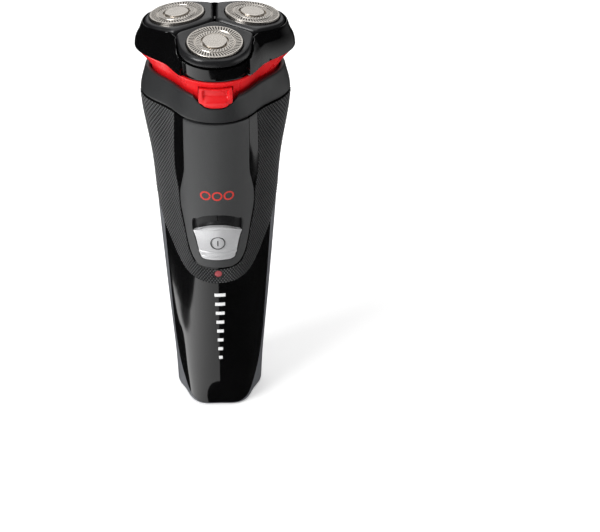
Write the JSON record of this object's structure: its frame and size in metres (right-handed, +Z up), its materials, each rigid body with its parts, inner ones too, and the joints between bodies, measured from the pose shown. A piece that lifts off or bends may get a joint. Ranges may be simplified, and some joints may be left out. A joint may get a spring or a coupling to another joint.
{
  "type": "electric shaver",
  "caption": "Cordless rotary electric shaver: tapered handle with knurled grip and slide switch, red hair chamber, and a hinged head of three tilting heads with slotted caps.",
  "frame": {"origin": "on the base face that the shaver stands on, under the head axis", "axes": "+Z up along the handle, -Y the side with the switch, X to the right seen from the switch side"},
  "size_m": [0.058, 0.0538, 0.1632],
  "materials": {
    "rear_shell": "satin blue-grey moulding",
    "gloss_black": "piano-black moulding",
    "panel": "fine satin grey",
    "grip_rubber": "diamond-knurled soft rubber",
    "collar": "matte black, fine grain",
    "red_plastic": "semi-gloss red",
    "silver_paint": "silver lacquer",
    "lens": "smoked red lens",
    "board": "solder-resist green",
    "cell": "shrink sleeve",
    "steel": "plain steel",
    "cap_steel": "stamped and ground stainless steel",
    "nylon": "natural nylon",
    "black_plastic": "black moulding",
    "brass": "plated contact",
    "soft_seal": "soft lip seal",
    "frame_plastic": "satin black moulding"
  },
  "bodies": {
    "handle": {"rear_shell": "rear_shell", "front_shell": "gloss_black", "front_panel": "panel", "grip_sleeve": "grip_rubber", "collar_band": "collar", "hair_chamber": "red_plastic", "lamp_lens": "lens", "circuit_board": "board", "battery_cell": "cell", "case_screw_lower": "steel", "case_screw_upper": "steel", "switch_block": "black_plastic", "battery_cradle": "black_plastic", "battery_tab_lower": "steel", "battery_tab_upper": "steel", "charging_inlet": "black_plastic", "inlet_pin_left": "brass", "inlet_pin_right": "brass", "motor_can": "steel", "motor_end_cap": "nylon", "motor_bracket": "black_plastic", "motor_screw_left": "steel", "motor_screw_right": "steel", "gear_deck": "black_plastic", "release_spring": "steel", "hinge_pin": "steel", "spindle_seal_1": "soft_seal", "spindle_seal_2": "soft_seal", "spindle_seal_3": "soft_seal"},
    "power_switch": {"power_slider": "silver_paint", "slider_carrier": "nylon"},
    "release_button": {"release_button": "red_plastic"},
    "motor_rotor": {"motor_shaft": "steel", "drive_pinion": "nylon"},
    "head": {"head_shell": "gloss_black", "retaining_plate": "nylon"},
    "lock_knob": {"lock_knob": "black_plastic"},
    "spindle_1": {"drive_gear_1": "nylon", "drive_spindle_1": "nylon"},
    "frame_1": {"head_frame_1": "frame_plastic"},
    "cap_1": {"shaving_cap_1": "cap_steel", "cap_disc_1": "cap_steel"},
    "cutter_1": {"cutter_1": "steel"},
    "spindle_2": {"drive_gear_2": "nylon", "drive_spindle_2": "nylon"},
    "frame_2": {"head_frame_2": "frame_plastic"},
    "cap_2": {"shaving_cap_2": "cap_steel", "cap_disc_2": "cap_steel"},
    "cutter_2": {"cutter_2": "steel"},
    "spindle_3": {"drive_gear_3": "nylon", "drive_spindle_3": "nylon"},
    "frame_3": {"head_frame_3": "frame_plastic"},
    "cap_3": {"shaving_cap_3": "cap_steel", "cap_disc_3": "cap_steel"},
    "cutter_3": {"cutter_3": "steel"}
  },
  "joints": [
    {"name": "switch_slide", "type": "slide", "parent": "handle", "child": "power_switch", "axis": [0, 0, 1], "range_m": [0, 0.004]},
    {"name": "button_press", "type": "slide", "parent": "handle", "child": "release_button", "axis": [0, 1, 0], "range_m": [0, 0.0012], "stiffness_N_per_m": 1500},
    {"name": "head_flip", "type": "hinge", "parent": "handle", "child": "head", "pos_m": [0, 0.02465, 0.15065], "axis": [-1, 0, 0], "range_deg": [0, 95]},
    {"name": "knob_turn", "type": "hinge", "parent": "head", "child": "lock_knob", "pos_m": [0, 0, 0.1508], "axis": [0, 0, -1], "range_deg": [0, 90]},
    {"name": "motor_spin", "type": "hinge", "parent": "handle", "child": "motor_rotor", "pos_m": [0, 0, 0.1347], "axis": [0, 0, 1], "continuous": true},
    {"name": "head_tilt_1", "type": "hinge", "parent": "head", "child": "frame_1", "pos_m": [0, -0.01548, 0.15902], "axis": [-1, 0, 0], "range_deg": [-3, 3], "stiffness_Nm_per_rad": 0.5},
    {"name": "cap_press_1", "type": "slide", "parent": "frame_1", "child": "cap_1", "axis": [0, 0.1219, -0.9925], "range_m": [0, 0.0006], "stiffness_N_per_m": 1200},
    {"name": "cutter_spin_1", "type": "hinge", "parent": "cap_1", "child": "cutter_1", "pos_m": [0, -0.01585, 0.162], "axis": [0, -0.1219, 0.9925], "continuous": true},
    {"name": "spindle_spin_1", "type": "hinge", "parent": "handle", "child": "spindle_1", "pos_m": [0, -0.01492, 0.1347], "axis": [0, 0, 1], "continuous": true},
    {"name": "head_tilt_2", "type": "hinge", "parent": "head", "child": "frame_2", "pos_m": [0.01341, 0.00774, 0.15902], "axis": [0.5, -0.866, 0], "range_deg": [-3, 3], "stiffness_Nm_per_rad": 0.5},
    {"name": "cap_press_2", "type": "slide", "parent": "frame_2", "child": "cap_2", "axis": [-0.1055, -0.0609, -0.9925], "range_m": [0, 0.0006], "stiffness_N_per_m": 1200},
    {"name": "cutter_spin_2", "type": "hinge", "parent": "cap_2", "child": "cutter_2", "pos_m": [0.01373, 0.00792, 0.162], "axis": [0.1055, 0.0609, 0.9925], "continuous": true},
    {"name": "spindle_spin_2", "type": "hinge", "parent": "handle", "child": "spindle_2", "pos_m": [0.01292, 0.00746, 0.1347], "axis": [0, 0, 1], "continuous": true},
    {"name": "head_tilt_3", "type": "hinge", "parent": "head", "child": "frame_3", "pos_m": [-0.01341, 0.00774, 0.15902], "axis": [0.5, 0.866, 0], "range_deg": [-3, 3], "stiffness_Nm_per_rad": 0.5},
    {"name": "cap_press_3", "type": "slide", "parent": "frame_3", "child": "cap_3", "axis": [0.1055, -0.0609, -0.9925], "range_m": [0, 0.0006], "stiffness_N_per_m": 1200},
    {"name": "cutter_spin_3", "type": "hinge", "parent": "cap_3", "child": "cutter_3", "pos_m": [-0.01373, 0.00792, 0.162], "axis": [-0.1055, 0.0609, 0.9925], "continuous": true},
    {"name": "spindle_spin_3", "type": "hinge", "parent": "handle", "child": "spindle_3", "pos_m": [-0.01292, 0.00746, 0.1347], "axis": [0, 0, 1], "continuous": true}
  ],
  "couplings": [
    {"joint": "spindle_spin_1", "follows": "motor_spin", "ratio": -1.1429},
    {"joint": "cutter_spin_1", "follows": "motor_spin", "ratio": -1.1429},
    {"joint": "spindle_spin_2", "follows": "motor_spin", "ratio": -1.1429},
    {"joint": "cutter_spin_2", "follows": "motor_spin", "ratio": -1.1429},
    {"joint": "spindle_spin_3", "follows": "motor_spin", "ratio": -1.1429},
    {"joint": "cutter_spin_3", "follows": "motor_spin", "ratio": -1.1429}
  ]
}
